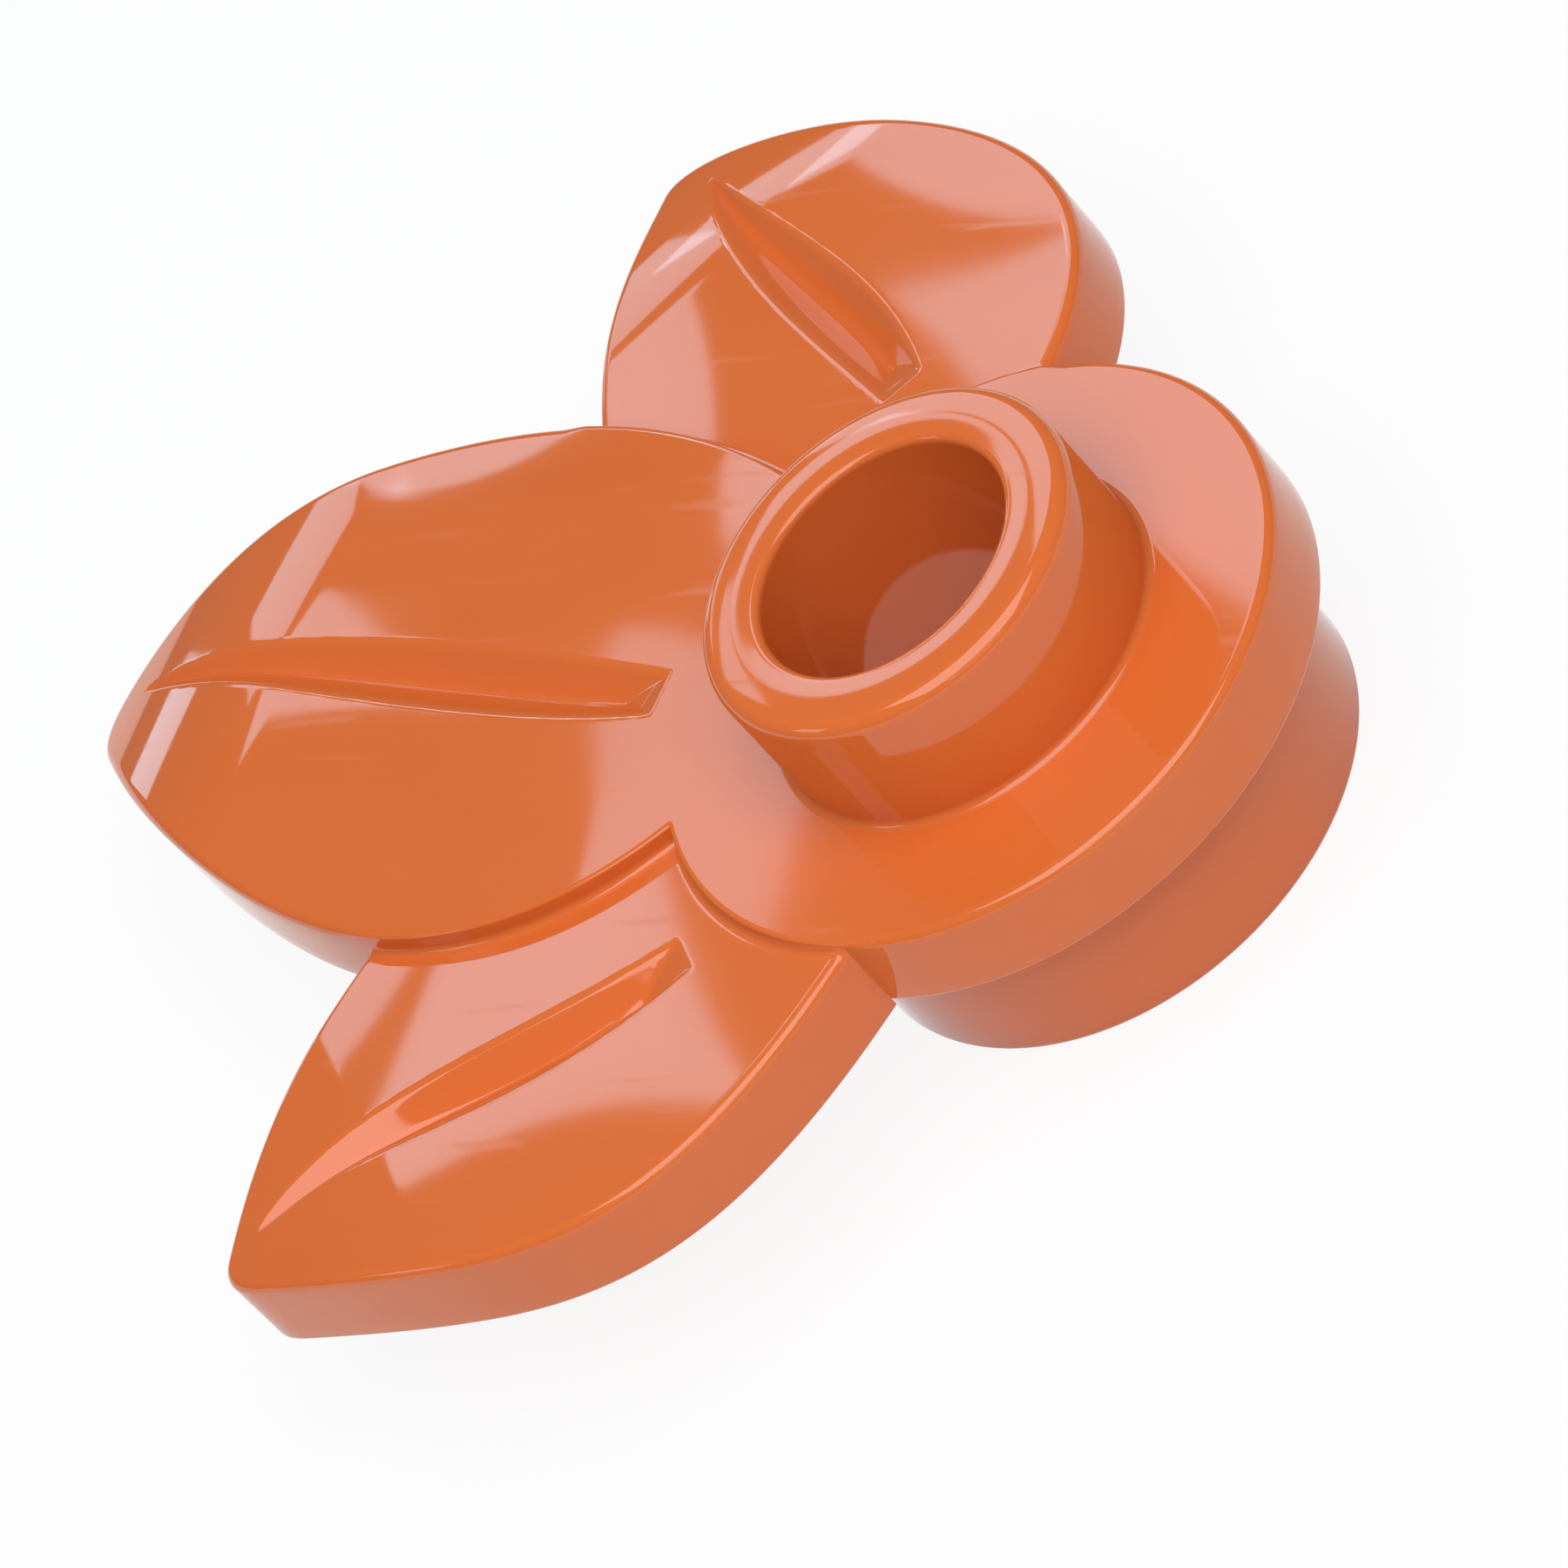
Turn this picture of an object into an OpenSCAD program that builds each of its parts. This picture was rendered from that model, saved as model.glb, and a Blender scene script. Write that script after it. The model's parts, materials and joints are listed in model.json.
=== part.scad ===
// Three-leaf round plate: a small moulded building element.
// A round plate with a hollow stud on top and a round socket skirt below carries three broad
// leaves on one side. Each leaf droops at its tip and has a V groove for its midrib.
// Origin: on the stud axis, at the level of the skirt's lower rim. +Z is up, +Y is along the
// centre leaf. Millimetres.

/* [Hub] */
// Diameter of the round plate
plate_d = 8.0; // [7.4:0.1:10]
// Thickness of the round plate and of the leaves
plate_t = 1.1; // [0.8:0.05:1.4]
// Radius of the rounding along the plate's top edge
plate_round = 0.12; // [0.05:0.01:0.25]
// Height of the skirt below the plate
skirt_h = 2.1; // [1.6:0.1:3.2]
// Wall of the skirt round the socket
skirt_wall = 0.9; // [0.6:0.05:1.1]
// Play between the socket and the stud that it takes from below
socket_play = 0; // [0:0.01:0.1]
// Depth of the lead-in chamfer at the socket's mouth
socket_lead = 0.15; // [0.05:0.05:0.3]

/* [Stud] */
// Outer diameter of the stud
stud_d = 4.8; // [4:0.05:5.6]
// Height of the stud above the plate
stud_h = 1.8; // [1.2:0.1:2.6]
// Radius of the rounding along the stud's top edge
stud_round = 0.2; // [0.05:0.05:0.3]
// Diameter of the bar bore through the stud and the plate
bore_d = 3.2; // [2.4:0.05:3.6]
// Depth of the small chamfer at the bore's mouth
bore_chamfer = 0.1; // [0.05:0.05:0.2]

/* [Centre leaf] */
// Reach of the centre leaf's edges from the stud axis, before the tip is rounded
centre_reach = 13.8; // [11:0.1:18]
// Greatest half width of the centre leaf
centre_half_w = 3.7; // [3:0.1:5]
// Drop of the centre leaf's tip below the plate's top
centre_drop = 0.95; // [0.3:0.05:1.2]
// Length of the stretch over which the centre leaf bends down
centre_bend = 3.6; // [2:0.1:4.5]

/* [Side leaves] */
// Reach of each side leaf's edges from the stud axis, before the tip is rounded
side_reach = 11.2; // [9:0.1:14]
// Greatest half width of a side leaf's outer side
side_half_w = 3.8; // [3:0.1:4.6]
// Angle between a side leaf and the centre leaf
side_angle = 45; // [38:1:60]
// Step from the plate's top down to the middle of a side leaf's top
side_step = 0.22; // [0.15:0.01:0.4]
// Sideways lean of a side leaf, which lifts its outer edge towards the plate's top
side_lean = 2.5; // [0:0.5:4]
// Drop of a side leaf's tip below its own level top
side_drop = 0.35; // [0.2:0.05:0.9]
// Length of the stretch over which a side leaf bends down
side_bend = 2.6; // [1.6:0.1:3.5]

/* [Midribs] */
// Greatest width of a midrib groove
groove_w = 0.85; // [0.4:0.05:1.2]
// Greatest depth of a midrib groove
groove_deep = 0.35; // [0.15:0.05:0.45]

/* [Hidden] */
$fn = 96;

plate_r = plate_d / 2;
plate_top = skirt_h + plate_t;          // level of the plate's upper face
socket_r = (stud_d + socket_play) / 2;
skirt_r = socket_r + skirt_wall;
bore_r = bore_d / 2;
stud_r = stud_d / 2;
stud_wall = stud_r - bore_r;
leaf_orange = [0.88, 0.44, 0.20];
EDGE_STEPS = 24;                        // straight steps along one leaf edge
TIP_STEPS = 8;                          // straight steps round a leaf's tip
BEND_STEPS = 10;                        // straight steps along a leaf's bend
GROOVE_STEPS = 16;                      // rings along a midrib groove
ROOT_INSET = 0.2;                       // how far inside the plate's edge a leaf's edges start
OVER = 0.5;                             // how far a cutter runs past the body it cuts

// ---- Curves ---------------------------------------------------------------------------------

// Cubic Bezier curve through p[0] and p[3], pulled towards p[1] and p[2].
function bezier(p, t) =
    pow(1 - t, 3) * p[0] + 3 * t * pow(1 - t, 2) * p[1]
    + 3 * t * t * (1 - t) * p[2] + pow(t, 3) * p[3];

// Points of a leaf's curve: along is a share of the leaf's free length beyond the plate, across
// a share of its half width.
function beyond_plate(points, reach, half_w) =
    [for (p = points) [plate_r + p[0] * (reach - plate_r), p[1] * half_w]];

// A leaf edge's four Bezier points: its root just inside the plate's edge at an angle, then the
// points beyond the plate.
function leaf_edge(edge, reach, half_w) = concat(
    [(plate_r - ROOT_INSET) * [cos(edge[0]), sin(edge[0])]],
    beyond_plate(edge[1], reach, half_w));

// Direction of a Bezier curve at t.
function heading(p, t) = bezier(p, t) - bezier(p, t - 0.01);

// Where the line through a along u meets the line through b along v.
function meeting(a, u, b, v) = a + u * cross(b - a, v) / cross(u, v);

// A leaf's rounded tip: a parabola from one edge to the other, pulled towards the point where the
// two edges would meet if they ran straight on.
function leaf_tip(left_edge, right_edge, until) =
    let (a = bezier(left_edge, until), b = bezier(right_edge, until),
         m = meeting(a, heading(left_edge, until), b, heading(right_edge, until)))
    [for (i = [1:TIP_STEPS - 1]) let (s = i / TIP_STEPS)
        pow(1 - s, 2) * a + 2 * s * (1 - s) * m + s * s * b];

// A leaf's plan: one edge from the root to where the tip's rounding starts, the rounded tip, then
// the other edge back to the root, closed on the axis.
function leaf_plan(left_edge, right_edge, until) = concat(
    [[0, 0]],
    [for (i = [0:EDGE_STEPS]) bezier(left_edge, until * i / EDGE_STEPS)],
    leaf_tip(left_edge, right_edge, until),
    [for (i = [EDGE_STEPS:-1:0]) bezier(right_edge, until * i / EDGE_STEPS)]);

// How far a leaf's top lies below its level stretch at a distance along from the axis:
// a parabola over the bent stretch.
function sag(along, reach, bend, drop) = drop * pow(max(0, along - (reach - bend)) / bend, 2);

// ---- Leaf outlines ------------------------------------------------------------------------------

// Each edge: the angle of its root on the plate, then its two Bezier handles and its tip.
CENTRE_LEFT = [33.0, [[0.301, 1.61], [0.874, 0.23], [1, -0.07]]];
CENTRE_RIGHT = [-37.8, [[0.408, -1.49], [0.955, -0.82], [1, -0.07]]];
LEFT_OUTER = [43.7, [[0.278, 1.17], [0.549, 1.09], [1, 0]]];
LEFT_INNER = [-46.6, [[0.387, -1.22], [0.765, -0.56], [1, 0]]];
RIGHT_OUTER = [37.5, [[0.152, 1.43], [0.711, 0.87], [1, 0]]];
RIGHT_INNER = [-47.8, [[0.765, -0.88], [0.871, -0.06], [1, 0]]];
// The share of each leaf's edges where the rounding of its tip starts.
CENTRE_TIP = 0.92;
LEFT_TIP = 0.956;
RIGHT_TIP = 0.863;
// Each midrib: its four Bezier points, from the plate towards the tip.
CENTRE_RIB = [[0.024, 0.085], [0.298, 0.01], [0.58, -0.17], [0.916, -0.20]];
LEFT_RIB = [[0.073, 0.245], [0.419, 0.21], [0.60, -0.09], [0.89, -0.055]];
RIGHT_RIB = [[0.089, 0.265], [0.371, 0.265], [0.576, 0.105], [0.874, 0.11]];

// ---- Leaf building ------------------------------------------------------------------------------

// Side view of a leaf (along, height): level, then bent down towards the tip, thickness plate_t.
module leaf_side(reach, bend, drop, top) {
    tops = [for (i = [0:BEND_STEPS]) let (along = reach - bend + (bend + OVER) * i / BEND_STEPS)
        [along, top - sag(along, reach, bend, drop)]];
    lows = [for (i = [BEND_STEPS:-1:0]) [tops[i][0], tops[i][1] - plate_t]];
    polygon(concat([[-OVER, top]], tops, lows, [[-OVER, top - plate_t]]));
}

// The bent slab that a leaf is cut from: its side view carried across the leaf's width.
module leaf_slab(reach, bend, drop, top, half_w) {
    wide = 3 * half_w;
    rotate([90, 0, 0]) linear_extrude(height = 2 * wide, center = true)
        leaf_side(reach, bend, drop, top);
}

// A V groove that follows a leaf's midrib: a three-sided cutter whose lower edge runs under the
// top face. It starts with a short sloping end near the plate and narrows to a point at the tip.
module rib_cutter(rib, reach, bend, drop, top) {
    rings = [for (i = [0:GROOVE_STEPS])
        let (t = i / GROOVE_STEPS, p = bezier(rib, t),
             q = bezier(rib, min(1, t + 0.01)) - bezier(rib, max(0, t - 0.01)),
             across = [-q[1], q[0]] / norm(q),
             share = 0.04 + 0.96 * pow(sin(180 * (0.16 + 0.84 * pow(t, 0.9))), 0.7),
             deep = groove_deep * share * min(1, 0.05 + t / 0.06),
             z = top - sag(p[0], reach, bend, drop),
             half = groove_w / 2 * share * 1.25, up = groove_deep * share * 0.25)
        [[p[0] + across[0] * half, p[1] + across[1] * half, z + up],
         [p[0] - across[0] * half, p[1] - across[1] * half, z + up],
         [p[0], p[1], z - deep]]];
    n = GROOVE_STEPS;
    polyhedron(points = [for (r = rings) for (v = r) v],
        faces = concat([[0, 1, 2]], [[3 * n + 2, 3 * n + 1, 3 * n]],
            [for (i = [0:n - 1]) for (k = [0:2])
                [3 * i + k, 3 * (i + 1) + k, 3 * (i + 1) + (k + 1) % 3, 3 * i + (k + 1) % 3]]));
}

// The centre leaf's plan, along +X.
module centre_plan() {
    polygon(leaf_plan(leaf_edge(CENTRE_LEFT, centre_reach, centre_half_w),
                      leaf_edge(CENTRE_RIGHT, centre_reach, centre_half_w), CENTRE_TIP));
}

// The plate's whole round, which the leaves stop at.
module plate_round_cutter() {
    translate([0, 0, -OVER]) cylinder(r = plate_r, h = plate_top + 2 * OVER);
}

// One side leaf along +X, its outer edge on the left and lifted by the lean.
module side_leaf(outer, inner, until, rib) {
    top = plate_top - side_step;
    difference() {
        intersection() {
            linear_extrude(height = plate_top + OVER)
                polygon(leaf_plan(leaf_edge(outer, side_reach, side_half_w),
                                  leaf_edge(inner, side_reach, side_half_w), until));
            leaning(top) leaf_slab(side_reach, side_bend, side_drop, top, side_half_w);
        }
        leaning(top) rib_cutter(beyond_plate(rib, side_reach, side_half_w),
                                side_reach, side_bend, side_drop, top);
    }
}

// Turn what is inside about the leaf's own middle line at the height of its top.
module leaning(top) {
    translate([0, 0, top]) rotate([side_lean, 0, 0]) translate([0, 0, -top]) children();
}

// Cut a side leaf where the plate and the centre leaf take its place.
module beside_hub() {
    difference() {
        children();
        plate_round_cutter();
        translate([0, 0, -OVER]) rotate(90)
            linear_extrude(height = plate_top + 2 * OVER) centre_plan();
    }
}

// ---- Sub-parts ----------------------------------------------------------------------------------

// Hollow stud: a ring with a rounded top edge and a small chamfer inside its mouth, both limited
// by its wall.
module stud() {
    edge = min(stud_round, stud_wall / 2);
    chamfer = min(bore_chamfer, stud_wall / 4);
    color(leaf_orange) translate([0, 0, plate_top]) rotate_extrude()
        difference() {
            union() {
                translate([bore_r, 0]) square([stud_wall, stud_h - edge]);
                translate([bore_r, 0]) square([stud_wall - edge, stud_h]);
                translate([stud_r - edge, stud_h - edge]) circle(r = edge);
            }
            polygon([[bore_r - OVER, stud_h + OVER], [bore_r - OVER, stud_h - OVER],
                     [bore_r, stud_h - chamfer], [bore_r + chamfer, stud_h],
                     [bore_r + chamfer, stud_h + OVER]]);
        }
}

// Round plate: the disc that carries everything, bored through for a bar.
module round_plate() {
    color(leaf_orange) translate([0, 0, skirt_h]) rotate_extrude()
        union() {
            translate([bore_r, 0]) square([plate_r - bore_r, plate_t - plate_round]);
            translate([bore_r, 0]) square([plate_r - plate_round - bore_r, plate_t]);
            translate([plate_r - plate_round, plate_t - plate_round]) circle(r = plate_round);
        }
}

// Socket skirt: the ring under the plate that grips a stud, with a lead-in at its mouth.
module socket_skirt() {
    color(leaf_orange) difference() {
        cylinder(r = skirt_r, h = skirt_h);
        translate([0, 0, -OVER]) cylinder(r = socket_r, h = skirt_h + 2 * OVER);
        translate([0, 0, -OVER])
            cylinder(r1 = socket_r + socket_lead + OVER, r2 = socket_r, h = socket_lead + OVER);
    }
}

// Centre leaf: level with the plate, so it also runs over the side leaves' roots.
module centre_leaf() {
    rib = beyond_plate(CENTRE_RIB, centre_reach, centre_half_w);
    color(leaf_orange) rotate(90) difference() {
        intersection() {
            linear_extrude(height = plate_top + OVER) centre_plan();
            leaf_slab(centre_reach, centre_bend, centre_drop, plate_top, centre_half_w);
        }
        plate_round_cutter();
        rib_cutter(rib, centre_reach, centre_bend, centre_drop, plate_top);
    }
}

module left_leaf() {
    color(leaf_orange) beside_hub() rotate(90 + side_angle)
        side_leaf(LEFT_OUTER, LEFT_INNER, LEFT_TIP, LEFT_RIB);
}

module right_leaf() {
    color(leaf_orange) beside_hub() rotate(90 - side_angle) mirror([0, 1, 0])
        side_leaf(RIGHT_OUTER, RIGHT_INNER, RIGHT_TIP, RIGHT_RIB);
}

stud();
round_plate();
socket_skirt();
centre_leaf();
left_leaf();
right_leaf();
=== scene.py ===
# %% [markdown]
# # A moulded building element with three leaves
#
# The object is a small glossy part of a toy building system. A round plate carries a hollow stud
# on top and a socket skirt below, and three broad leaves grow from one side of the plate. The
# real one is a single shot of orange plastic, so what has to look right is one continuous skin:
# level tops that run into each other, small rounded edges, veins pressed into the leaves, and a
# gloss that shows the studio's soft boxes as bands.
#
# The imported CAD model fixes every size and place. It is loaded first, and its box is kept.

# %% Load the frame
import json

import bmesh
import bpy
import numpy as np
from mathutils import Matrix, Vector


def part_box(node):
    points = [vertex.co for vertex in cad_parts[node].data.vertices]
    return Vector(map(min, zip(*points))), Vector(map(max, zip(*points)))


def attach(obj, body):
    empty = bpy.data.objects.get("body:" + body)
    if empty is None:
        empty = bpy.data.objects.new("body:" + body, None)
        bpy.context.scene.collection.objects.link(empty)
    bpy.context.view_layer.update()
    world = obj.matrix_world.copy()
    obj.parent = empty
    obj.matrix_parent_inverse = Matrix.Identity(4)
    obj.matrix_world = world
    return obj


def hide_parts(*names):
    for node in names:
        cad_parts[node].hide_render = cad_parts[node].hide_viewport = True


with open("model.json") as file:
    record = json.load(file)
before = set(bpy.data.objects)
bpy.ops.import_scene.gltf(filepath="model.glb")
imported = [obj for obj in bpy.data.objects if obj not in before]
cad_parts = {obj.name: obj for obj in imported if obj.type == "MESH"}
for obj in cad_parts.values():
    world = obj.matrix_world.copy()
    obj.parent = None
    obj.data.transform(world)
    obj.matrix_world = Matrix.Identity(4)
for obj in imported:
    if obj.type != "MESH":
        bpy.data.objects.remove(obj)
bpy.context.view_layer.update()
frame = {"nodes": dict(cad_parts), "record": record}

print("nodes:", sorted(frame["nodes"]))

# %% [markdown]
# ## Sizes
#
# A part this small is easier to think about in millimetres, so every shape below is worked out
# in millimetres and turned into metres where its mesh is made. The hub's sizes are read from the
# frame: boxes of the CAD nodes, and the radii of the stated mounts. The leaves' outlines can't be
# read from a box, so they are the same curves as in the CAD source.

# %% Hub sizes from the frame
MM = 0.001


def corner_mm(node, high):
    """One corner of a node's box, in millimetres: the highest one or the lowest one."""
    return np.array(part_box(node)[int(high)]) / MM


def mount_radius(name):
    """The radius of a stated mount, in millimetres."""
    return next(m["dims"]["r_mm"] for m in frame["record"]["mounts"] if m["name"] == name)


plate_r = corner_mm("round_plate", True)[0]
plate_top = corner_mm("round_plate", True)[2]
plate_low = corner_mm("round_plate", False)[2]
plate_t = plate_top - plate_low
stud_r = mount_radius("stud")
stud_h = corner_mm("stud", True)[2] - plate_top
skirt_r = corner_mm("socket_skirt", True)[0]
bore_r = mount_radius("bar_bore")
socket_r = mount_radius("socket")
print(f"plate {2 * plate_r:.2f} x {plate_t:.2f}, stud {2 * stud_r:.2f} x {stud_h:.2f} mm")

# %% Leaf sizes, as in the CAD source
centre_reach, centre_half_w = 13.8, 3.7
centre_drop, centre_bend = 0.95, 3.6
side_reach, side_half_w, side_angle = 11.2, 3.8, 45
side_step, side_lean, side_drop, side_bend = 0.22, 2.5, 0.35, 2.6
groove_w, groove_deep = 0.85, 0.35
root_inset = 0.2

# Each edge: the angle of its root on the plate, then two Bezier handles and the tip, as shares of
# the free length beyond the plate and of the half width.
CENTRE_LEFT = [33.0, [[0.301, 1.61], [0.874, 0.23], [1, -0.07]]]
CENTRE_RIGHT = [-37.8, [[0.408, -1.49], [0.955, -0.82], [1, -0.07]]]
LEFT_OUTER = [43.7, [[0.278, 1.17], [0.549, 1.09], [1, 0]]]
LEFT_INNER = [-46.6, [[0.387, -1.22], [0.765, -0.56], [1, 0]]]
RIGHT_OUTER = [37.5, [[0.152, 1.43], [0.711, 0.87], [1, 0]]]
RIGHT_INNER = [-47.8, [[0.765, -0.88], [0.871, -0.06], [1, 0]]]
# The share of each leaf's edges where the rounding of its tip starts.
CENTRE_TIP, LEFT_TIP, RIGHT_TIP = 0.92, 0.956, 0.863
CENTRE_RIB = [[0.024, 0.085], [0.298, 0.01], [0.58, -0.17], [0.916, -0.20]]
LEFT_RIB = [[0.073, 0.245], [0.419, 0.21], [0.60, -0.09], [0.89, -0.055]]
RIGHT_RIB = [[0.089, 0.265], [0.371, 0.265], [0.576, 0.105], [0.874, 0.11]]

# %% [markdown]
# ## Curves
#
# Every line on a leaf is one cubic Bezier curve: four points, of which the middle two only pull.
# Three questions are asked of such a line: where it is, how far a point lies from it, and where
# it is crossed. Each is answered for all points at once, with numpy's arrays.

# %% Curve helpers
def bezier(points, t):
    """(1-t)^3 p0 + 3 t (1-t)^2 p1 + 3 t^2 (1-t) p2 + t^3 p3, for every t at once."""
    p, t = np.asarray(points, float), np.asarray(t, float)[..., None]
    return ((1 - t) ** 3 * p[0] + 3 * t * (1 - t) ** 2 * p[1]
            + 3 * t ** 2 * (1 - t) * p[2] + t ** 3 * p[3])


def beyond_plate(points, reach, half_w):
    """Shares to millimetres: plate radius + share * free length along, share * half width across."""
    p = np.asarray(points, float)
    return np.stack([plate_r + p[:, 0] * (reach - plate_r), p[:, 1] * half_w], axis=1)


def leaf_edge(edge, reach, half_w, until, steps=240):
    """A leaf's edge from the plate's circle to where the tip's rounding starts, as points."""
    angle = np.radians(edge[0])
    root = (plate_r - root_inset) * np.array([[np.cos(angle), np.sin(angle)]])
    curve = np.vstack([root, beyond_plate(edge[1], reach, half_w)])
    t = np.linspace(0, 1, 400)
    leaves_at = np.interp(plate_r, np.linalg.norm(bezier(curve, t), axis=1), t)
    return bezier(curve, np.linspace(leaves_at, until, steps))


def nearest_on(points, line):
    """Distance from each point to a line of straight steps, and the share of the line there.

    Each point is dropped at a right angle on every step, and the nearest foot wins."""
    flat = points.reshape(-1, 1, 2)
    start, step = line[:-1], np.diff(line, axis=0)
    along = np.clip(((flat - start) * step).sum(-1) / (step ** 2).sum(-1), 0, 1)
    gap = np.linalg.norm(flat - start - along[..., None] * step, axis=-1)
    best = gap.argmin(axis=1)
    rows = np.arange(len(best))
    share = (best + along[rows, best]) / len(step)
    return gap[rows, best].reshape(points.shape[:-1]), share.reshape(points.shape[:-1])


def crossings(starts, ends, line):
    """How far along each straight row start -> end it is crossed by a line, as a share of the row.

    Both are written as point + share * direction, and the two shares solve a 2 x 2 system.
    Rows that the line misses take the value of the nearest row that it crosses."""
    across, step = (ends - starts)[:, None], np.diff(line, axis=0)[None]
    offset = line[None, :-1] - starts[:, None]
    det = across[..., 0] * step[..., 1] - across[..., 1] * step[..., 0]
    det = np.where(np.abs(det) < 1e-12, 1e-12, det)
    on_row = (offset[..., 0] * step[..., 1] - offset[..., 1] * step[..., 0]) / det
    on_line = (offset[..., 0] * across[..., 1] - offset[..., 1] * across[..., 0]) / det
    hit = (on_line >= 0) & (on_line <= 1) & (on_row >= 0) & (on_row <= 1)
    found = hit.any(axis=1)
    value = np.take_along_axis(on_row, hit.argmax(axis=1)[:, None], axis=1)[:, 0]
    index = np.arange(len(value))
    return np.interp(index, index[found], value[found])


def by_length(line, shares):
    """Points of a line at given shares of its length."""
    run = np.r_[0, np.cumsum(np.linalg.norm(np.diff(line, axis=0), axis=1))]
    return np.stack([np.interp(shares * run[-1], run, line[:, k]) for k in (0, 1)], axis=1)


def unit(vector):
    """A vector made one long."""
    return vector / np.linalg.norm(vector)


def turned(points, degrees):
    """Points turned about the origin: the usual cosine and sine of the angle."""
    c, s = np.cos(np.radians(degrees)), np.sin(np.radians(degrees))
    return points @ np.array([[c, s], [-s, c]])


print("curve helpers ready, one test point:", bezier([[0, 0], [1, 2], [2, 2], [3, 0]], 0.5))

# %% [markdown]
# ## From grids to a closed mesh
#
# A surface here is a grid of points, rows by columns. A solid is a handful of such grids whose
# borders coincide: top, underside and walls of a leaf, for instance. They are put in one mesh,
# their borders are welded, and the faces are turned outwards. Faces that meet at a small angle
# are shaded smooth, and a real corner stays crisp.

# %% Mesh from grids
crisp_angle = np.radians(38)
pieces = {}                      # the finished pieces, by the CAD node that each stands for


def solid(name, grids):
    """One closed mesh object from grids of points (rows, columns, 3) in millimetres."""
    points, quads, used = [], [], 0
    for grid in grids:
        rows, cols = grid.shape[:2]
        index = used + np.arange(rows * cols).reshape(rows, cols)
        quads.append(np.stack([index[:-1, :-1], index[1:, :-1], index[1:, 1:], index[:-1, 1:]],
                              axis=-1).reshape(-1, 4))
        points.append(grid.reshape(-1, 3))
        used += rows * cols
    mesh = bpy.data.meshes.new(name + "_skin")
    mesh.from_pydata((np.vstack(points) * MM).tolist(), [], np.vstack(quads).tolist())
    work = bmesh.new()
    work.from_mesh(mesh)
    bmesh.ops.remove_doubles(work, verts=work.verts, dist=2e-7)
    bmesh.ops.dissolve_degenerate(work, edges=work.edges, dist=1e-8)
    bmesh.ops.recalc_face_normals(work, faces=work.faces)
    open_edges = sum(len(e.link_faces) != 2 for e in work.edges)
    work.to_mesh(mesh)
    work.free()
    mesh.shade_smooth()
    mesh.set_sharp_from_angle(angle=crisp_angle)
    piece = bpy.data.objects.new(mesh.name, mesh)
    bpy.context.scene.collection.objects.link(piece)
    pieces[name] = piece
    print(f"{name}: {len(mesh.polygons)} faces, {open_edges} open edges")


def arc_drop(distance, radius):
    """How far a rounded edge has dropped at a distance in from the edge: r - sqrt(r^2 - (r-d)^2)."""
    inward = np.clip(radius - distance, 0, radius)
    return radius - np.sqrt(radius ** 2 - inward ** 2)


def quarter(steps):
    """Shares from 0 to 1 that start in tiny steps, 1 - cos, as even angles on a rounding need."""
    return 1 - np.cos(np.linspace(0, np.pi / 2, steps))


# %% [markdown]
# ## Stud and skirt
#
# Both are rings, so each is a profile turned about the axis. The profile is a closed line of
# (radius, height), with its corners replaced by quarter circles: the stud has a soft outer rim, a
# small rounding into its bore, and a tiny fillet where it meets the plate, which catches the
# light as a thin line. A lathe grid keeps the circles true without thousands of tiny steps.

# %% Rings
turns = 256
stud_round, bore_round, foot_fillet = 0.20, 0.10, 0.10
skirt_round, socket_lead, skirt_fillet = 0.10, 0.15, 0.08


def corner(centre, radius, from_deg, to_deg, steps=9):
    """A rounded corner of a profile: centre + radius * (cos, sin) from one angle to another."""
    a = np.radians(np.linspace(from_deg, to_deg, steps))
    return np.asarray(centre) + radius * np.stack([np.cos(a), np.sin(a)], axis=1)


def lathe(profile, count=turns):
    """A profile of (radius, height) turned about the Z axis: (r cos a, r sin a, z)."""
    a = np.linspace(0, 2 * np.pi, count + 1)[:, None]
    r, z = profile[:, 0], profile[:, 1]
    return np.stack([r * np.cos(a), r * np.sin(a), z + 0 * a], axis=-1)


def closed(*parts):
    """Parts of a profile joined into one closed line."""
    line = np.vstack([np.atleast_2d(p) for p in parts])
    return np.vstack([line, line[:1]])


stud_top = plate_top + stud_h
stud_profile = closed(
    corner([stud_r + foot_fillet, plate_top + foot_fillet], foot_fillet, -90, -180),
    corner([stud_r - stud_round, stud_top - stud_round], stud_round, 0, 90),
    corner([bore_r + bore_round, stud_top - bore_round], bore_round, 90, 180),
    [bore_r, plate_top])
solid("stud", [lathe(stud_profile)])

skirt_profile = closed(
    [socket_r, plate_low],
    [socket_r, socket_lead], [socket_r + socket_lead, 0],
    corner([skirt_r - skirt_round, skirt_round], skirt_round, -90, 0),
    corner([skirt_r + skirt_fillet, plate_low - skirt_fillet], skirt_fillet, 180, 90))
solid("socket_skirt", [lathe(skirt_profile)])

# %% [markdown]
# ## Leaf outlines and rows
#
# A leaf's skin is a grid whose rows run straight across from its right edge to its left edge.
# Both edges are walked at the same pace from root to tip. The tip is rounded by a parabola that
# is pulled towards the point where both edges would meet, and it is walked from both sides at
# once. The first row is bent onto the plate's circle, because the leaf grows from there.

# %% Rows across a leaf
row_count, tip_rows = 230, 22
tip_end = 0.485                  # share of the tip's curve that the last row stands at


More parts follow.
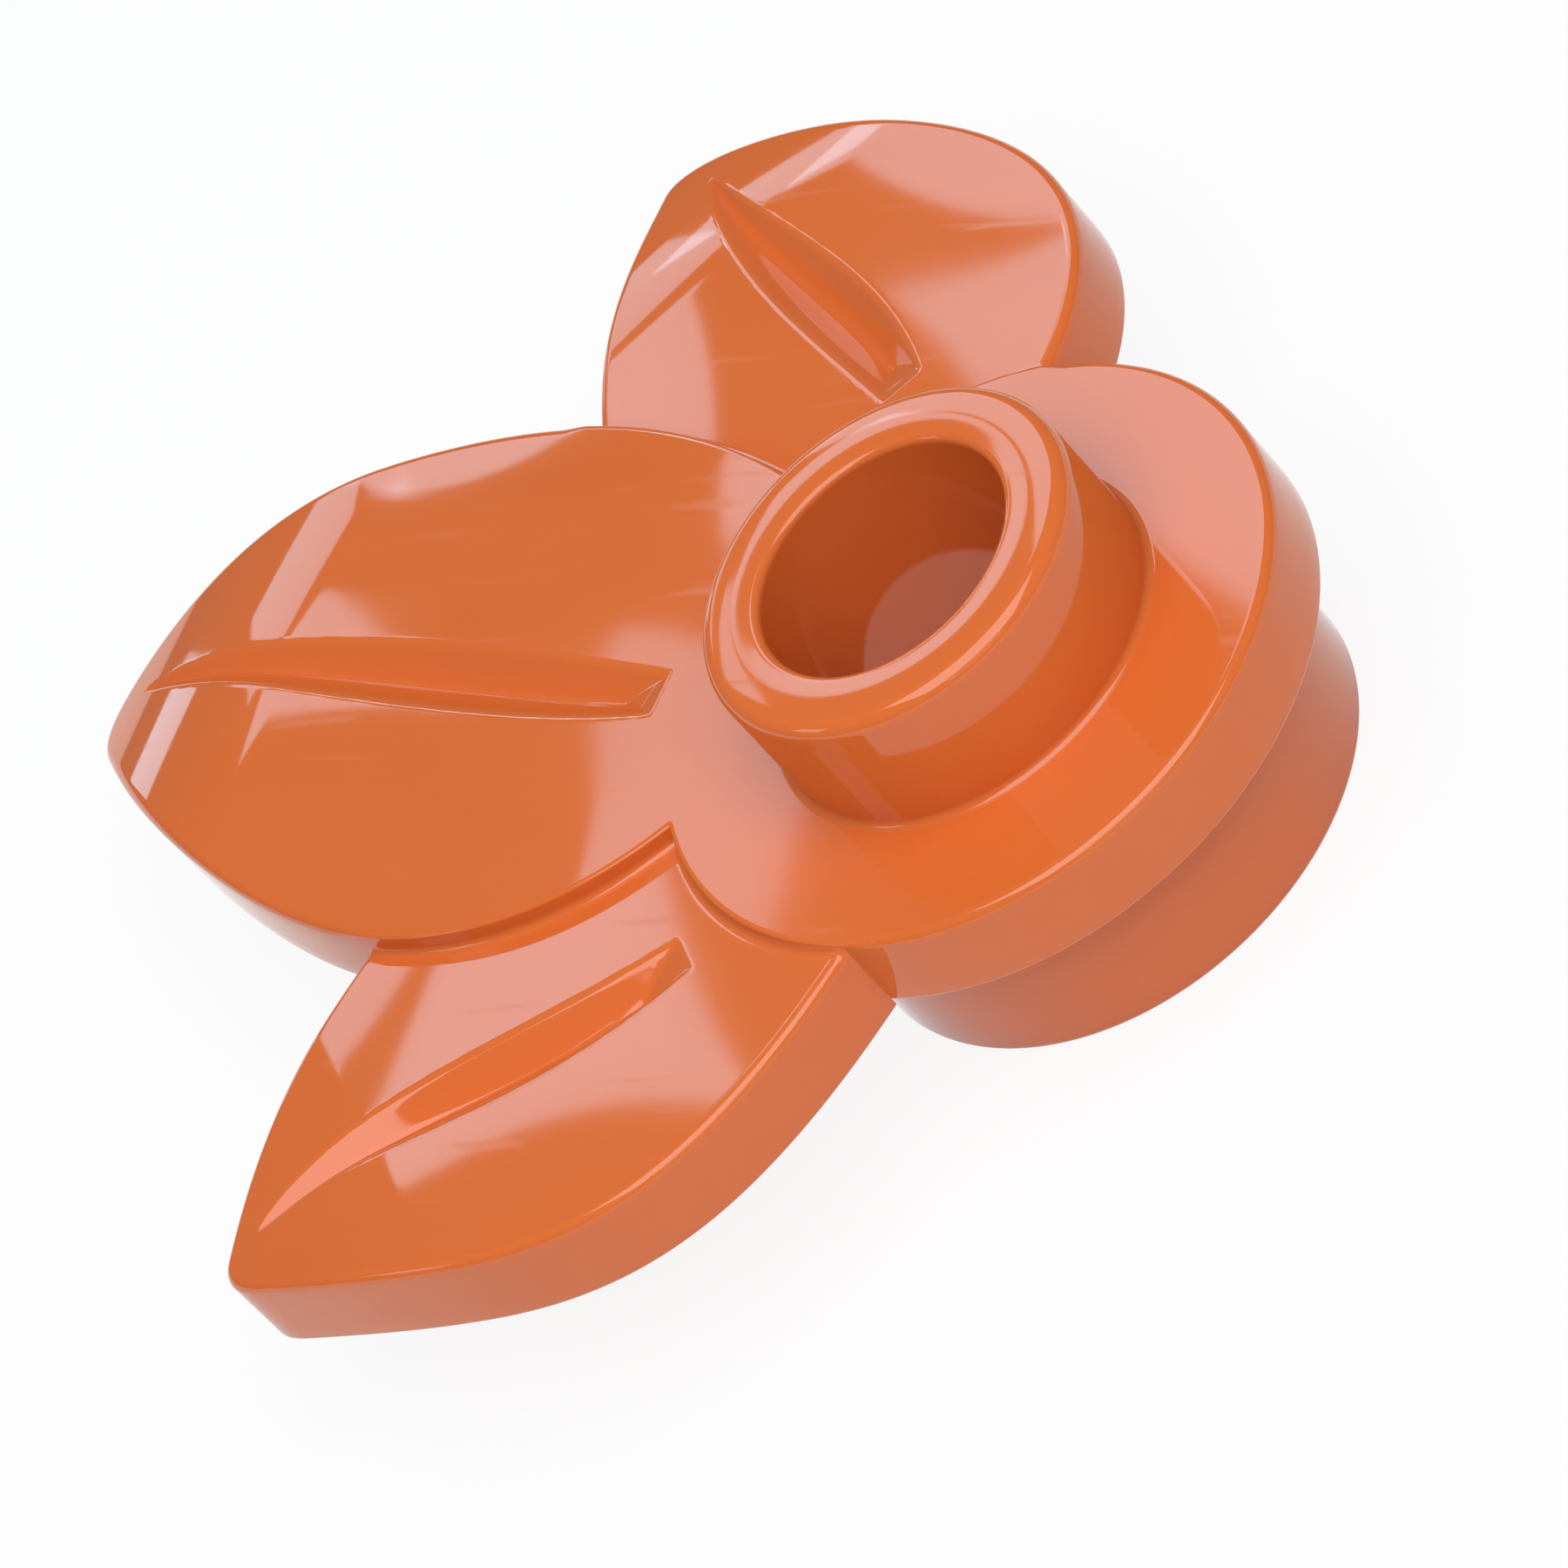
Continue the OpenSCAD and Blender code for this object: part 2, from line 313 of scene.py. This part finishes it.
def tip_curve(right, left, share):
    """Points of the rounded tip: (1-s)^2 a + 2 s (1-s) m + s^2 b from the right edge's end a to
    the left edge's end b, where m is the meeting point of both edges run straight on."""
    a, b, u, v = right[-1], left[-1], right[-1] - right[-2], left[-1] - left[-2]
    gap = b - a
    m = a + u * (gap[0] * v[1] - gap[1] * v[0]) / (u[0] * v[1] - u[1] * v[0])
    s = share[:, None]
    return (1 - s) ** 2 * a + 2 * s * (1 - s) * m + s ** 2 * b


def leaf_rows(right, left):
    """Right and left end of every row: both edges at equal shares of their length, then the tip."""
    pace = np.linspace(0, 1, row_count)
    round_tip = tip_end * np.sin(np.linspace(0, np.pi / 2, tip_rows))[1:]
    return (np.vstack([by_length(right, pace), tip_curve(right, left, round_tip)]),
            np.vstack([by_length(left, pace), tip_curve(right, left, 1 - round_tip)]))


centre_left = leaf_edge(CENTRE_LEFT, centre_reach, centre_half_w, CENTRE_TIP)
centre_right = leaf_edge(CENTRE_RIGHT, centre_reach, centre_half_w, CENTRE_TIP)
centre_rib = bezier(beyond_plate(CENTRE_RIB, centre_reach, centre_half_w), np.linspace(0, 1, 80))
centre_rows = leaf_rows(centre_right, centre_left)
print("centre leaf rows:", len(centre_rows[0]))

# %% [markdown]
# A side leaf grows from beside the centre leaf, so its inner border has two stretches: it follows
# the centre leaf's edge from the plate outwards, and from where the two outlines cross it is its
# own edge. The right leaf is worked out like a left one and mirrored as it is placed.

# %% Borders of the side leaves
def first_crossing(line, other):
    """Where two lines cross: the pair of straight steps that meet, as the place on the first."""
    a, da, b, db = line[:-1, None], np.diff(line, axis=0)[:, None], other[None, :-1], \
        np.diff(other, axis=0)[None]
    det = da[..., 0] * db[..., 1] - da[..., 1] * db[..., 0]
    gap = b - a
    s = (gap[..., 0] * db[..., 1] - gap[..., 1] * db[..., 0]) / det
    t = (gap[..., 0] * da[..., 1] - gap[..., 1] * da[..., 0]) / det
    row, col = np.argwhere((s >= 0) & (s <= 1) & (t >= 0) & (t <= 1))[0]
    return row + 1, col + 1, line[row] + s[row, col] * (line[row + 1] - line[row])


def side_border(inner, until, centre_edge):
    """The inner border of a side leaf: the centre leaf's edge up to the crossing, then its own.

    Returns the stretch along the centre leaf and the free stretch, both in the leaf's frame."""
    beside = turned(centre_edge, -side_angle)
    own = leaf_edge(inner, side_reach, side_half_w, until)
    row, col, meeting = first_crossing(beside, own)
    return np.vstack([beside[:row], meeting]), np.vstack([meeting, own[col:]])


left_outer = leaf_edge(LEFT_OUTER, side_reach, side_half_w, LEFT_TIP)
right_outer = leaf_edge(RIGHT_OUTER, side_reach, side_half_w, RIGHT_TIP)
left_wall, left_free = side_border(LEFT_INNER, LEFT_TIP, centre_left)
right_wall, right_free = side_border(RIGHT_INNER, RIGHT_TIP, centre_right * [1, -1])
print("left leaf leaves the centre leaf at", left_free[0].round(2), "right at", right_free[0].round(2))

# %% [markdown]
# ## The leaf's skin
#
# The top of a leaf is a height over its plan. Five things add up: the level it starts from, the
# sag towards the tip, a slight crown across, the rounding along the free edge, and the groove of
# the midrib. On a side leaf a small fillet is added where it runs into the plate and the centre
# leaf. Subdividing a rough cage would be quicker, but it would blur the thin groove. Heights
# depend only on place, so two pieces that share a border agree along it.

# %% Heights
edge_round, under_round, wall_fillet = 0.12, 0.06, 0.10
centre_crown, side_crown = 0.16, 0.10
centre_middle, side_middle = -0.2, 0.8    # where across the leaf its crown is highest
crown_start, crown_ease = 0.2, 5.5        # the crown's start beyond the plate, and its fade-in
rounding_band = 1.7                       # width of the dense columns, in edge roundings
root_bend = 0.35                          # share of the rows that follow the plate's circle


def sag(along, reach, bend, drop):
    """Drop of the top over the bent stretch: drop * (distance into the bend / bend)^2."""
    return drop * (np.clip(along - (reach - bend), 0, None) / bend) ** 2


least_share, valley, lip = 0.04, 0.06, 0.14    # the groove's least width, and its roundings


def groove(points, rib):
    """Depth of the midrib's V groove: depth * soft(1 - distance / half width).

    The width follows sin(180 * (0.16 + 0.84 t^0.9))^0.7 along the rib, so it starts blunt and
    runs out to a point. The lips and the valley are rounded: a parabola takes over near each
    corner of the V. At the blunt start the groove ends in a short slope of its own."""
    distance, t = nearest_on(points, rib)
    share = least_share + (1 - least_share) * np.sin(
        np.pi * (0.16 + 0.84 * np.clip(t, 0, 1) ** 0.9)) ** 0.7
    across = np.sqrt((distance / (groove_w / 2 * share)) ** 2 + valley ** 2)
    soft = np.where(across < 1 - lip, 1 - across,
                    np.clip(1 + lip - across, 0, None) ** 2 / (4 * lip))
    along = unit(rib[1] - rib[0])
    past_start = ((points - rib[0]) * along).sum(-1)
    slope = np.clip(past_start / (0.9 * groove_w), 0, 1)
    close = np.linalg.norm(points - rib[0], axis=-1) < 1.5 * groove_w
    limit = np.where(close, slope, 1)
    return groove_deep * share * np.minimum(soft, limit)


def grid_columns(right, left, rib):
    """Places of the columns on each row: dense at the edges and round the rib, even between.

    Six knots per row are joined by steps: edge, end of the rounding, both sides of the groove,
    start of the other rounding, edge."""
    width = np.linalg.norm(left - right, axis=1)
    edge = np.minimum(rounding_band * edge_round / width, 0.3)
    middle = np.clip(crossings(right, left, rib), edge + 0.1, 0.9 - edge)
    half = np.minimum(0.75 * groove_w / width, 0.45 * np.minimum(middle - edge, 1 - edge - middle))
    knots = np.stack([0 * edge, edge, middle - half, middle + half, 1 - edge, 1 + 0 * edge], axis=1)
    place = np.concatenate([quarter(10)[:-1], 1 + np.linspace(0, 1, 15)[:-1],
                            2 + np.linspace(0, 1, 33)[:-1], 3 + np.linspace(0, 1, 15)[:-1],
                            5 - quarter(10)[::-1]])
    knot = np.minimum(place.astype(int), 4)
    return knots[:, knot] * (1 - (place - knot)) + knots[:, knot + 1] * (place - knot)


def leaf_plan(right, left, columns, arc_right, arc_left):
    """Every grid point in plan: straight rows, and near the root bent onto the plate's circle.

    The bend is the gap between the circle and its chord, and it fades as (1 - share)^2."""
    plan = right[:, None] + columns[..., None] * (left - right)[:, None]
    angle = arc_right + columns * (arc_left - arc_right)
    arc = plate_r * np.stack([np.cos(angle), np.sin(angle)], axis=-1)
    chord = right[0] + columns[..., None] * (left[0] - right[0])
    fade = np.clip(1 - np.linspace(0, 1, len(right)) / root_bend, 0, 1)[:, None, None] ** 2
    return plan + fade * (arc - chord)


def leaf_solid(name, plan, top, low, place):
    """A leaf's six grids: top, underside, two side walls, root wall and tip wall.

    Walls go straight from the top's border to the underside's in a few even steps."""
    over, under = np.dstack([plan, top]), np.dstack([plan, low])
    down = np.linspace(0, 1, 5)[:, None]

    def wall(upper, lower):
        return upper[:, None] + down * (lower - upper)[:, None]

    grids = [over, under, wall(over[:, 0], under[:, 0]), wall(over[:, -1], under[:, -1]),
             wall(over[0], under[0]), wall(over[-1], under[-1])]
    solid(name, [place(g) for g in grids])


# %% [markdown]
# A side leaf sits a small step lower than the hub, and the hub's rim above it is crisp, while the
# free rim is rounded. So the rim's radius is a function of place: it grows with the distance from
# the lines where the side leaves meet the hub. Those lines are worked out first.

# %% Rounding beside the side leaves
def corner_angle(point):
    """Angle of a point on the plate's circle."""
    return np.arctan2(point[1], point[0])


def foot_line(wall, outer):
    """Where a side leaf meets the hub, in its own frame: the plate's arc, then the centre leaf."""
    arc = np.linspace(corner_angle(outer[0]), corner_angle(wall[0]), 120)
    return np.vstack([plate_r * np.stack([np.cos(arc), np.sin(arc)], axis=1), wall[1:]])


left_foot, right_foot = foot_line(left_wall, left_outer), foot_line(right_wall, right_outer)
hub_feet = turned(left_foot, side_angle), turned(right_foot, side_angle) * [1, -1]


crisp_share, crisp_reach = 0.3, 0.5


def edge_radius(points):
    """Radius of the rounded rim: crisp share + distance / reach, at most the full radius."""
    near = np.minimum(*(nearest_on(points, foot)[0] for foot in hub_feet))
    return edge_round * np.clip(crisp_share + near / crisp_reach, crisp_share, 1)


# %% [markdown]
# The centre leaf is level with the plate and flows into it, so both are rounded by their distance
# to one free outline: the leaf's two edges joined by the open arc of the plate.

# %% Centre leaf
arc_a, arc_b = corner_angle(centre_right[0]), corner_angle(centre_left[0])
free_arc = np.linspace(arc_b, arc_a + 2 * np.pi, 400)
free_outline = np.vstack([
    centre_rows[0][::-1], plate_r * np.stack([np.cos(free_arc), np.sin(free_arc)], 1)[::-1],
    centre_rows[1]])
free_outline = np.vstack([free_outline, free_outline[:1]])

centre_plan = leaf_plan(*centre_rows, grid_columns(*centre_rows, centre_rib), arc_a, arc_b)
print("centre leaf grid:", centre_plan.shape)


def crown(points, middle, half_w, height):
    """How far a leaf's top has fallen away from its middle: height * (across / half width)^2,
    faded in over the first stretch beyond the plate, so the root stays level."""
    begun = np.clip((points[..., 0] - plate_r - crown_start) / crown_ease, 0, 1)
    return height * ((points[..., 1] - middle) / half_w) ** 2 * begun ** 2 * (3 - 2 * begun)


def centre_level(points):
    """Level of the plate and centre leaf before rounding: the plate's top less sag and crown."""
    return (plate_top - sag(points[..., 0], centre_reach, centre_bend, centre_drop)
            - crown(points, centre_middle, centre_half_w, centre_crown))


centre_inset = nearest_on(centre_plan, free_outline)[0]
leaf_solid(
    "centre_leaf", centre_plan,
    centre_level(centre_plan) - arc_drop(centre_inset, edge_radius(centre_plan))
    - groove(centre_plan, centre_rib),
    centre_level(centre_plan) - plate_t + arc_drop(centre_inset, under_round),
    lambda g: np.dstack([turned(g[..., :2], 90), g[..., 2]]))

# %% [markdown]
# The side leaves lean a little, so their outer edges rise towards the plate's top. Both are made
# by one function in a frame of their own, in which the leaf points along X. Their outlines differ
# slightly, so the right leaf has its own curves and is mirrored only as it is placed.

# %% Side leaves
def side_leaf(name, outer, wall_border, free_border, foot, rib_points, place):
    """One side leaf in its own frame, outer edge on the left, then placed round the hub."""
    rib = bezier(beyond_plate(rib_points, side_reach, side_half_w), np.linspace(0, 1, 80))
    border = np.vstack([wall_border, free_border[1:]])
    right, left = leaf_rows(border, outer)
    arc_right, arc_left = corner_angle(right[0]), corner_angle(left[0])
    plan = leaf_plan(right, left, grid_columns(right, left, rib), arc_right, arc_left)
    level = (plate_top - side_step + plan[..., 1] * np.tan(np.radians(side_lean))
             - sag(plan[..., 0], side_reach, side_bend, side_drop)
             - crown(plan, side_middle, side_half_w, side_crown))
    edge_rows = np.vstack([free_border[:1], right[np.linalg.norm(right - free_border[0], axis=1)
                                                  .argmin() + 1:]])
    inset = nearest_on(plan, np.vstack([edge_rows, left[::-1]]))[0]
    rise = arc_drop(nearest_on(plan, foot)[0], wall_fillet)
    leaf_solid(name, plan, level - arc_drop(inset, edge_round) - groove(plan, rib) + rise,
               level - plate_t + arc_drop(inset, under_round), place)


side_leaf(
    "left_leaf", left_outer, left_wall, left_free, left_foot, LEFT_RIB,
    lambda g: np.dstack([turned(g[..., :2], 90 + side_angle), g[..., 2]]))
side_leaf(
    "right_leaf", right_outer, right_wall, right_free, right_foot, RIGHT_RIB,
    lambda g: np.dstack([turned(g[..., :2] * [1, -1], 90 - side_angle), g[..., 2]]))

# %% [markdown]
# ## Round plate
#
# The plate's top is level with the centre leaf's, with no line between them, so the rounding of
# its rim has to die out exactly where the leaf begins. The same distance to the free outline of
# plate and leaf together, and the same radius, decide the rounding on both, so the skins meet.

# %% Round plate
plate_turns = 720
rim = plate_r - rounding_band * edge_round * quarter(12)[::-1]
radii = np.concatenate([np.linspace(bore_r, rim[0], 12)[:-1], rim])
angle = np.linspace(0, 2 * np.pi, plate_turns + 1)[:, None]
disc = np.stack([radii * np.cos(angle), radii * np.sin(angle)], axis=-1)
disc_inset = nearest_on(disc, free_outline)[0]
disc_top = np.dstack([disc, plate_top - arc_drop(disc_inset, edge_radius(disc))])
disc_low = np.dstack([disc, plate_low + arc_drop(disc_inset, under_round)])
steps_down = np.linspace(0, 1, 5)[:, None]
rim_wall = disc_top[:, -1, None] + steps_down * (disc_low[:, -1] - disc_top[:, -1])[:, None]
bore_wall = disc_top[:, 0, None] + steps_down * (disc_low[:, 0] - disc_top[:, 0])[:, None]
solid("round_plate", [
    np.dstack([turned(g[..., :2], 90), g[..., 2]]) for g in (disc_top, disc_low, rim_wall,
                                                           bore_wall)])

# %% [markdown]
# ## Riding and replacing
#
# Nothing moves on this part, so every piece rides on the one body. Each piece stands for the CAD
# node of the same name, which is hidden in its place.

# %% Pieces stand for the CAD nodes
for node, piece in pieces.items():
    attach(piece, "root")
    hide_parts(node)

# %% [markdown]
# ## Glossy moulded plastic
#
# The plastic is an opaque orange with a hard, even gloss. Up close a moulding is never one flat
# colour: the pigment flows in faint streaks away from the gate, the skin is very slightly wavy
# where thick walls sank as they cooled, and handling leaves hair-fine scuffs. Each of these is a
# small effect with its own scale, so each is a node group with named inputs, placed in the
# material with its own values. Patterns read Object coordinates, which are metres here.

# %% Node groups
def new_group(name, inputs, outputs):
    """A shader node group with its sockets, and its input and output nodes."""
    group = bpy.data.node_groups.new(name, "ShaderNodeTree")
    for label, kind, value in inputs:
        made = group.interface.new_socket(label, in_out="INPUT", socket_type=kind)
        made.default_value = value
    for label, kind in outputs:
        group.interface.new_socket(label, in_out="OUTPUT", socket_type=kind)
    return group, group.nodes.new("NodeGroupInput"), group.nodes.new("NodeGroupOutput")


def add(tree, kind, links=None, **settings):
    """A node with its settings, and its inputs either linked or set to a value."""
    node = tree.nodes.new(kind)
    for key, value in settings.items():
        setattr(node, key, value)
    for key, value in (links or {}).items():
        if isinstance(value, bpy.types.NodeSocket):
            tree.links.new(value, node.inputs[key])
        else:
            node.inputs[key].default_value = value
    return node


def pigment_group():
    """Colour that drifts with two noises: broad soft clouds, and streaks drawn out along Y."""
    group, get, put = new_group("pigment_drift", [
        ("Colour", "NodeSocketColor", (1, 1, 1, 1)), ("Deep Colour", "NodeSocketColor", (1, 1, 1, 1)),
        ("Vector", "NodeSocketVector", (0, 0, 0)), ("Cloud Scale", "NodeSocketFloat", 200.0),
        ("Streak Scale", "NodeSocketFloat", 600.0), ("Amount", "NodeSocketFloat", 0.2)],
        [("Colour", "NodeSocketColor")])
    cloud = add(group, "ShaderNodeTexNoise", {"Vector": get.outputs["Vector"],
                                              "Scale": get.outputs["Cloud Scale"], "Detail": 3.0})
    drawn = add(group, "ShaderNodeMapping", {"Vector": get.outputs["Vector"],
                                             "Scale": (1.0, 0.18, 1.0)})
    streak = add(group, "ShaderNodeTexNoise", {"Vector": drawn.outputs["Vector"],
                                               "Scale": get.outputs["Streak Scale"], "Detail": 4.0})
    both = add(group, "ShaderNodeMath", {0: cloud.outputs["Fac"], 1: streak.outputs["Fac"]},
               operation="MULTIPLY")
    share = add(group, "ShaderNodeMath", {0: both.outputs[0], 1: get.outputs["Amount"]},
                operation="MULTIPLY")
    mix = add(group, "ShaderNodeMix", {"Factor": share.outputs[0]}, data_type="RGBA")
    for key, source in (("A", "Colour"), ("B", "Deep Colour")):
        colour_input = next(s for s in mix.inputs if s.name == key and s.type == "RGBA")
        group.links.new(get.outputs[source], colour_input)
    result = next(s for s in mix.outputs if s.type == "RGBA")
    group.links.new(result, put.inputs["Colour"])
    return group


def skin_group():
    """Roughness and height of a moulded skin: slow waves for sink, fine scuffs where handled."""
    group, get, put = new_group("moulded_skin", [
        ("Vector", "NodeSocketVector", (0, 0, 0)), ("Gloss Roughness", "NodeSocketFloat", 0.1),
        ("Scuff Roughness", "NodeSocketFloat", 0.2), ("Wave Scale", "NodeSocketFloat", 250.0),
        ("Scuff Scale", "NodeSocketFloat", 4000.0)],
        [("Roughness", "NodeSocketFloat"), ("Height", "NodeSocketFloat")])
    wave = add(group, "ShaderNodeTexNoise", {"Vector": get.outputs["Vector"],
                                             "Scale": get.outputs["Wave Scale"], "Detail": 1.0})
    thin = add(group, "ShaderNodeMapping", {"Vector": get.outputs["Vector"],
                                            "Rotation": (0.0, 0.0, 0.6), "Scale": (1.0, 0.08, 1.0)})
    scuff = add(group, "ShaderNodeTexNoise", {"Vector": thin.outputs["Vector"],
                                              "Scale": get.outputs["Scuff Scale"], "Detail": 2.0})
    where = add(group, "ShaderNodeMapRange", {"Value": scuff.outputs["Fac"], "From Min": 0.62,
                                              "From Max": 0.78, "To Min": 0.0, "To Max": 1.0})
    rough = add(group, "ShaderNodeMapRange", {
        "Value": where.outputs["Result"], "To Min": get.outputs["Gloss Roughness"],
        "To Max": get.outputs["Scuff Roughness"]})
    deep = add(group, "ShaderNodeMath", {0: where.outputs["Result"], 1: -0.02},
               operation="MULTIPLY")
    height = add(group, "ShaderNodeMath", {0: wave.outputs["Fac"], 1: deep.outputs[0]},
                 operation="ADD")
    group.links.new(rough.outputs["Result"], put.inputs["Roughness"])
    group.links.new(height.outputs[0], put.inputs["Height"])
    return group


# %% The material
body_colour = (0.745, 0.160, 0.034, 1.0)
deep_colour = (0.66, 0.125, 0.022, 1.0)


def plastic():
    """Glossy ABS: orange with faint pigment drift, a hard gloss, slow waves and fine scuffs."""
    material = bpy.data.materials.new("moulded_orange")
    material.use_nodes = True
    tree = material.node_tree
    shader = tree.nodes["Principled BSDF"]
    place = tree.nodes.new("ShaderNodeTexCoord").outputs["Object"]
    pigment = add(tree, "ShaderNodeGroup", node_tree=pigment_group())
    skin = add(tree, "ShaderNodeGroup", node_tree=skin_group())
    for group in (pigment, skin):
        tree.links.new(place, group.inputs["Vector"])
    pigment.inputs["Colour"].default_value = body_colour
    pigment.inputs["Deep Colour"].default_value = deep_colour
    pigment.inputs["Amount"].default_value = 0.9
    skin.inputs["Gloss Roughness"].default_value = 0.045
    skin.inputs["Scuff Roughness"].default_value = 0.12
    bump = add(tree, "ShaderNodeBump", {"Height": skin.outputs["Height"], "Strength": 0.08,
                                        "Distance": 0.00001})
    tree.links.new(pigment.outputs["Colour"], shader.inputs["Base Color"])
    tree.links.new(skin.outputs["Roughness"], shader.inputs["Roughness"])
    tree.links.new(bump.outputs["Normal"], shader.inputs["Normal"])
    shader.inputs["IOR"].default_value = 1.52
    return material


orange_plastic = plastic()
for piece in pieces.values():
    piece.data.materials.append(orange_plastic)
print("material on", len(pieces), "pieces")

# %% [markdown]
# ## Camera
#
# A long lens from 39 degrees above the plate, held turned, so that the stud leans to the upper
# left of the view. A direction from two angles is easy to read: heading round the Z axis and
# height above the horizon. The roll turns the camera about its own line of sight.

# %% Camera
heading, elevation, roll = np.radians([-127.24, 38.97, -43.39])
view_angle = np.radians(8.0)
aim = Vector((-1.725, 1.866, 3.2)) * MM
camera_distance = 125.78 * MM
frame_width_mm = 36.0

back = Vector((np.cos(elevation) * np.cos(heading), np.cos(elevation) * np.sin(heading),
               np.sin(elevation)))
level_right = Vector((0, 0, 1)).cross(back).normalized()
level_up = back.cross(level_right)
right = np.cos(roll) * level_right + np.sin(roll) * level_up
up = back.cross(right)
lens = bpy.data.cameras.new("camera")
lens.sensor_width = frame_width_mm
lens.lens = frame_width_mm / 2 / np.tan(view_angle / 2)
lens.clip_start, lens.clip_end = 0.01, 10.0
camera = bpy.data.objects.new("camera", lens)
camera.matrix_world = Matrix.LocRotScale(
    aim + back * camera_distance, Matrix((right, up, back)).transposed().to_quaternion(), None)
bpy.context.scene.collection.objects.link(camera)
bpy.context.scene.camera = camera
print("camera at mm", [round(c / MM, 1) for c in camera.location], "lens mm", round(lens.lens, 1))

# %% [markdown]
# ## Studio
#
# The part stands on a plain pale floor. One large soft box overhead is the key and lights
# everything, and a weak one just below the camera fills the walls. Gloss shows what is round it,
# so the others are placed by what the level tops mirror. Follow the line of sight to a surface
# and bounce it off: a small cool box in that direction shows there as a pale band with a clean
# border. Each leaf lies at its own small tilt, so each takes its band from a box of its own.

# %% Soft boxes
def softbox(name, heading_deg, height_deg, distance, width, height, radiance, colour, twist=0.0):
    """A rectangular light that faces the part. Its power is radiance * pi * area."""
    h, e = np.radians([heading_deg, height_deg])
    away = Vector((np.cos(e) * np.cos(h), np.cos(e) * np.sin(h), np.sin(e)))
    light = bpy.data.lights.new(name, "AREA")
    light.shape = "RECTANGLE"
    light.size, light.size_y = width * MM, height * MM
    light.energy = radiance * np.pi * light.size * light.size_y
    light.color = colour
    box = bpy.data.objects.new(name, light)
    turn = away.to_track_quat("Z", "Y") @ Matrix.Rotation(np.radians(twist), 4, "Z").to_quaternion()
    box.matrix_world = Matrix.LocRotScale(away * distance * MM, turn, None)
    bpy.context.scene.collection.objects.link(box)


plain, cool = (1.0, 1.0, 1.0), (0.55, 0.90, 1.08)
softbox("key", -127, 68, 150, 150, 150, 3.35, plain)
softbox("fill", -127, 32, 200, 120, 90, 0.6, plain)

# Name, middle heading and height in degrees, distance, width and height in mm, twist, radiance.
for name, *place, radiance in (
        ("right_band", 40.8, 38.6, 120, 26.3, 44, 20.8, 3.0),
        ("upper_band", 50.8, 28.6, 120, 5.6, 21.7, 22.4, 3.0),
        ("plate_band", 50.9, 38.6, 120, 6.2, 8.6, -10.5, 3.1),
        ("root_band", 55.6, 39.5, 120, 7.6, 5.0, 30, 2.6),
        ("side_band", 58.2, 34.2, 120, 9.0, 9.5, -30, 3.0),
        ("leaf_band", 56.9, 25.5, 120, 15.0, 21, 0, 2.6),
        ("tip_band", 65.7, 11.0, 120, 9.0, 16.0, 3.4, 2.8),
        ("vein_band", 131.0, 34.0, 120, 30, 24, 0, 2.4)):
    *box, twist = place
    softbox(name, *box, radiance, cool, twist)

# %% [markdown]
# The floor is matt paper. So that it reads as an even white sheet, most of what a direct or a
# mirrored look sees of it is a plain white glow, and the rest is the lit paper, which keeps the
# soft shadow under the part. Light that bounces off it is the paper's own.

# %% Floor and background
floor_half, glow_share = 0.6, 0.9
floor_mesh = bpy.data.meshes.new("floor")
floor_mesh.from_pydata([(-floor_half, -floor_half, 0), (floor_half, -floor_half, 0),
                        (floor_half, floor_half, 0), (-floor_half, floor_half, 0)], [], [(0, 1, 2, 3)])
floor = bpy.data.objects.new("floor", floor_mesh)
bpy.context.scene.collection.objects.link(floor)

paper = bpy.data.materials.new("pale_floor")
paper.use_nodes = True
tree = paper.node_tree
matt = tree.nodes["Principled BSDF"]
matt.inputs["Base Color"].default_value = (0.86, 0.86, 0.86, 1.0)
matt.inputs["Roughness"].default_value = 0.9
rays = tree.nodes.new("ShaderNodeLightPath")
seen = add(tree, "ShaderNodeMath", {0: rays.outputs["Is Camera Ray"],
                                    1: rays.outputs["Is Glossy Ray"]}, operation="MAXIMUM")
also = add(tree, "ShaderNodeMath", {0: seen.outputs[0],
                                    1: rays.outputs["Is Transmission Ray"]}, operation="MAXIMUM")
white = add(tree, "ShaderNodeEmission", {"Color": (1, 1, 1, 1), "Strength": 1.0})
share = add(tree, "ShaderNodeMath", {0: also.outputs[0], 1: glow_share}, operation="MULTIPLY")
blend = add(tree, "ShaderNodeMixShader", {0: share.outputs[0], 1: matt.outputs[0],
                                          2: white.outputs[0]})
tree.links.new(blend.outputs[0], tree.nodes["Material Output"].inputs["Surface"])
floor_mesh.materials.append(paper)

world = bpy.data.worlds.new("studio")
bpy.context.scene.world = world
world.use_nodes = True
world.node_tree.nodes["Background"].inputs["Color"].default_value = (1.0, 1.0, 1.0, 1.0)
world.node_tree.nodes["Background"].inputs["Strength"].default_value = 0.18
bpy.context.scene.view_settings.view_transform = "Standard"
